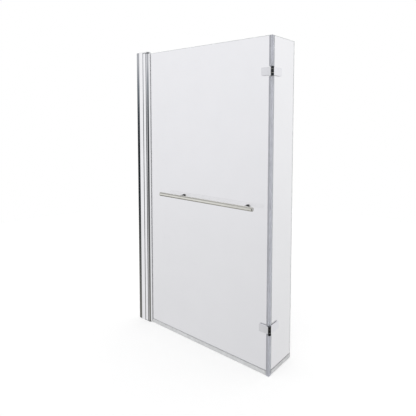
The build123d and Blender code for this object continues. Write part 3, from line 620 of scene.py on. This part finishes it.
class SCREEN_OT_rail(bpy.types.Operator):
    """Finish of the towel rail, and the soft washers between it and the glass"""

    bl_idname = "screen.rail"
    bl_label = "Towel rail"

    BORE = 3.02         # radius of the washers' holes
    THICK = 1.0

    def washers(self):
        """Discs turned about Y: point (t, a) is the section's point t, (radius, depth), turned by angle a."""
        low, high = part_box("rail_washers")
        radius = (high[2] - low[2]) / 2 / MM
        places = [low[0] / MM + radius, high[0] / MM - radius]
        angle = np.linspace(0, 2 * np.pi, 64, endpoint=False)
        made = []
        for side in (GLASS_FRONT, GLASS_BACK):
            out = math.copysign(self.THICK, side)
            section = rounded([(self.BORE, side), (radius, side), (radius, side + out), (self.BORE, side + out)],
                              0.35)
            for x in places:
                r, y = (np.broadcast_to(v[:, None], (len(section), len(angle))) for v in section.T)
                rings = np.stack((x + r * np.cos(angle), y, (low[2] + high[2]) / 2 / MM + r * np.sin(angle)), -1)
                washer = mesh_of("washer", rings, closed=True)
                if out > 0:
                    washer.data.flip_normals()
                made.append(washer)
        return joined("rail_soft_washers", made)

    def execute(self, context):
        scene = context.scene
        wear(chromed_tube("chromed_steel_tube", scene.screen_metal.rail),
             "towel_rail_tube", "rail_end_plugs", "rail_inner_caps")
        # The stand-offs carry the same painted dark reflection as the knuckles
        wear(chromed_tube("stand_off_painted_dark_reflection", scene.screen_metal.painted_dark_reflection), "rail_posts")
        pvc = flexible_pvc("clear_pvc_washer", scene.screen_soft.clear, 0.6, 0.15, (1, 1, 1))
        dress(self.washers(), pvc, "main_screen", "clear_seal", "rail_washers")
        return {"FINISHED"}


class SCREEN_OT_bottom_seals(bpy.types.Operator):
    """Clear seals along the bottom edges: a clip with a drip fin, over a soft bulb that meets the bath's rim"""

    bl_idname = "screen.bottom_seals"
    bl_label = "Bottom seals"

    HALF = 4.1          # half of the seal's thickness
    LEG_TOP = 20.0
    WEB = 6.8           # bulb to clip
    BORE = 2.2
    FIN = 8.0           # reach of the fin, from the clip to its tip
    RIPPLE_LENGTH = 95  # mean length of the waves in the fin
    RING_STEP = 12.0

    def clip(self):
        """The clip's outline: across the glass, positive on the bath's side, and up."""
        glass = GLASS_BACK
        corners = [(-self.HALF, self.WEB), (self.HALF, self.WEB), (self.HALF, 9.6), (7.6, 8.1), (12.1, 4.6),
                   (12.0, 5.7), (8.2, 9.6), (self.HALF, 12.5), (self.HALF, self.LEG_TOP), (glass, self.LEG_TOP - 0.7),
                   (glass, GLASS_FLOOR), (-glass, GLASS_FLOOR), (-glass, self.LEG_TOP - 0.7),
                   (-self.HALF, self.LEG_TOP)]
        bends = [0.5, 0.5, 0.8, 3.0, 0.5, 0.5, 3.0, 0.8, 0.5, 0.3, 0.3, 0.3, 0.3, 0.5]
        return rounded(corners, bends)

    def seal(self, name, start, end, place, lip, ripple):
        """The clip's outline and the bulb's two ellipses, extruded. The clip's points move up and down along its
        length by the sum of two sine waves, times the square of how far out along the fin a point is."""
        along, drawn = eased_ends(start, end, lip, self.RING_STEP)
        outline = self.clip()
        phase = start * 0.37
        free = np.clip((outline[:, 0] - self.HALF) / self.FIN, 0, 1) ** 2
        wave = (np.sin(2 * np.pi * along / self.RIPPLE_LENGTH + phase)
                + 0.6 * np.sin(2 * np.pi * along / (self.RIPPLE_LENGTH * 0.43) + 2 * phase))
        rings = np.stack([inset(outline, d) for d in drawn])
        rings[..., 1] += wave[:, None] * free[None, :] * ripple / 1.6
        s = np.broadcast_to(along[:, None], rings.shape[:2])
        clip = mesh_of("clip", place(rings[..., 0], rings[..., 1], s))
        angle = np.linspace(0, 2 * np.pi, 40, endpoint=False)
        round_part = np.column_stack((np.cos(angle), np.sin(angle)))
        outer = round_part * (self.HALF - 0.2, self.WEB / 2) + (0, self.WEB / 2)
        inner = round_part * self.BORE + (0, self.WEB / 2)
        both = np.concatenate((np.stack([inset(outer, d) for d in drawn]),
                               np.stack([inset(inner, -d) for d in drawn])[::-1]))
        s = np.broadcast_to(np.concatenate((along, along[::-1]))[:, None], both.shape[:2])
        bulb = mesh_of("bulb", place(both[..., 0], both[..., 1], s), closed=True)
        return joined(name, [clip, bulb])

    def execute(self, context):
        soft = context.scene.screen_soft
        lip, ripple = soft.lip / MM, soft.ripple / MM
        start, end = edge("main_bottom_seal", 0, 0), edge("main_bottom_seal", 1, 0)
        main = self.seal("main_panel_drip_seal", start, end, lambda a, b, s: np.stack((s, a, b), -1), lip, ripple)
        dress(main, flexible_pvc("clear_pvc_main_seal", soft.clear, 0.15, 0.16, (300, 1, 1)), "main_screen",
              "clear_seal", "main_bottom_seal")
        middle = (edge("return_glass", 0, 0) + CORNER_X) / 2
        start, end = edge("return_bottom_seal", 0, 1), edge("return_bottom_seal", 1, 1)
        back = self.seal("return_panel_drip_seal", start, end,
                         lambda a, b, s: np.stack((middle - a, s, b), -1), lip, ripple)
        dress(back, flexible_pvc("clear_pvc_return_seal", soft.clear, 0.15, 0.16, (1, 300, 1)), "return_screen",
              "clear_seal", "return_bottom_seal")
        return {"FINISHED"}


class SCREEN_OT_corner_seal(bpy.types.Operator):
    """The grey strip that fills the corner between the panels, notched round both hinges"""

    bl_idname = "screen.corner_seal"
    bl_label = "Corner seal"

    STEP = 0.5          # height over which the section changes at a notch
    GRIP = 5.0          # how far the seal's legs reach over the glass
    LEG = 1.0           # thickness of a leg
    NOTCH_GAP = 0.8     # room above and below a hinge's pin

    def execute(self, context):
        """Rings up the corner, each a mix of a full section and a notched one: point i of a ring is (1 - m) times
        the full section's point i and m times the notched one's, with m from 0 away from a hinge to 1 at it."""
        x = CORNER_X
        low = edge("main_glass", 1, 0) - x
        back = GLASS_BACK
        gap = edge("corner_seal", 1, 1)
        grip = low - self.GRIP
        full = [(grip, -back), (grip, -back - 0.9), (-8.2, -back - self.LEG), (-6.6, -back), (-3.21, -back),
                (0, -back), (0, 0.21), (0, gap), (-5.5, gap), (-5.5, back + self.LEG), (grip, back + self.LEG),
                (grip, back), (low, back), (low, -back)]
        bends = np.array([0.3, 0.4, 0.8, 1.0, 0.3, 3.2, 0.3, 1.5, 1.5, 1.0, 0.4, 0.3, 0.3, 0.3])
        notched = list(full)
        notched[0:3] = [(low + 0.15, -back), (low + 0.5, -back), (low + 0.9, -back)]
        notched[5] = (-1.4, -back + 1.6)
        notched[10:12] = [(-8.0, back + self.LEG), (-8.0, back)]
        sections = [rounded(full, bends), rounded(notched, np.minimum(bends, 1.2))]
        zone = (edge("lower_hinge_pin", 1, 2) - edge("lower_hinge_pin", 0, 2)) / 2 + self.NOTCH_GAP
        top = edge("corner_seal", 1, 2)
        heights, shares = [0.0], [0.0]
        for hinge in HINGES:
            middle = (edge(f"{hinge}_pin", 0, 2) + edge(f"{hinge}_pin", 1, 2)) / 2
            heights += [middle - zone - self.STEP, middle - zone, middle + zone, middle + zone + self.STEP]
            shares += [0.0, 1.0, 1.0, 0.0]
        heights, shares = np.array(heights + [top]), np.array(shares + [0.0])
        rings = sections[0] * (1 - shares[:, None, None]) + sections[1] * shares[:, None, None]
        s = np.broadcast_to(heights[:, None], rings.shape[:2])
        strip = mesh_of("corner_seal_strip", upright(rings[..., 0] + x, rings[..., 1], s))
        tone = context.scene.screen_soft.corner
        dress(strip, flexible_pvc("grey_pvc_corner_strip", tone, 0.45, 0.3, (1, 1, 300)), "main_screen",
              "corner_seal", "corner_seal")
        return {"FINISHED"}


class SCREEN_OT_post_gaskets(bpy.types.Operator):
    """The gasket that holds the main panel in the pivot bar, and the strip that wipes the bar"""

    bl_idname = "screen.post_gaskets"
    bl_label = "Post gaskets"

    def execute(self, context):
        """Both are a rounded section extruded up the post."""
        soft = context.scene.screen_soft
        # The gasket colour is lightened as painted light, against the shade in the glazing slot
        rubber = soft_rubber("post_gasket_rubber", soft.rubber)
        lip = soft.lip / MM / 2
        (x0, y0, z0), (x1, y1, z1) = ([v / MM for v in corner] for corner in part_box("glazing_gasket"))
        glass = edge("main_glass", 0, 0)
        outline = rounded([(x0, y0), (x1, y0), (x1, GLASS_FRONT), (glass, GLASS_FRONT), (glass, GLASS_BACK),
                           (x1, GLASS_BACK), (x1, y1), (x0, y1)], [0.3, 0.6, 0.6, 0.2, 0.2, 0.6, 0.6, 0.3])
        bead = mesh_of("glazing_bead", extruded(outline, *eased_ends(z0, z1, lip), upright))
        dress(bead, rubber, "main_screen", "soft_gasket", "glazing_gasket")
        (x0, y0, z0), (x1, y1, z1) = ([v / MM for v in corner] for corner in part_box("pivot_wiper_seal"))
        tip = x1 - 0.1
        corners = [(x0, y0), (tip - 0.5, y0), (tip, y0 + 0.7), (tip, y1 - 0.7), (tip - 0.5, y1), (x0, y1)]
        outline = rounded(corners, 0.3)
        strip = mesh_of("pivot_wiper_strip", extruded(outline, *eased_ends(z0, z1, lip), upright))
        dress(strip, rubber, "wall_post", "soft_gasket", "pivot_wiper_seal")
        return {"FINISHED"}


class SCREEN_PT_sidebar(bpy.types.Panel):
    """Lists the pieces and their settings"""

    bl_idname = "SCREEN_PT_sidebar"
    bl_label = "Bath screen"
    bl_space_type = "VIEW_3D"
    bl_region_type = "UI"
    bl_category = "Bath screen"

    def draw(self, context):
        for group in SETTINGS:
            settings = getattr(context.scene, group)
            for name in settings.__annotations__:
                self.layout.prop(settings, name)
        for operator in OPERATORS:
            self.layout.operator(operator.bl_idname)


SETTINGS = {
    "screen_metal": MetalFinishes,
    "screen_glass": GlassFinishes,
    "screen_soft": SoftFinishes,
    "screen_studio": StudioSettings,
}
OPERATORS = (
    SCREEN_OT_studio,
    SCREEN_OT_post,
    SCREEN_OT_fasteners,
    SCREEN_OT_glass,
    SCREEN_OT_hinges,
    SCREEN_OT_rail,
    SCREEN_OT_bottom_seals,
    SCREEN_OT_corner_seal,
    SCREEN_OT_post_gaskets,
)
CLASSES = (*SETTINGS.values(), *OPERATORS, SCREEN_PT_sidebar)


def register():
    for item in CLASSES:
        bpy.utils.register_class(item)
    for name, group in SETTINGS.items():
        setattr(bpy.types.Scene, name, bpy.props.PointerProperty(type=group))


def unregister():
    for name in SETTINGS:
        delattr(bpy.types.Scene, name)
    for item in reversed(CLASSES):
        bpy.utils.unregister_class(item)


def main():
    register()
    for operator in OPERATORS:
        group, name = operator.bl_idname.split(".")
        getattr(getattr(bpy.ops, group), name)()
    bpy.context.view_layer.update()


if __name__ == "__main__":
    main()
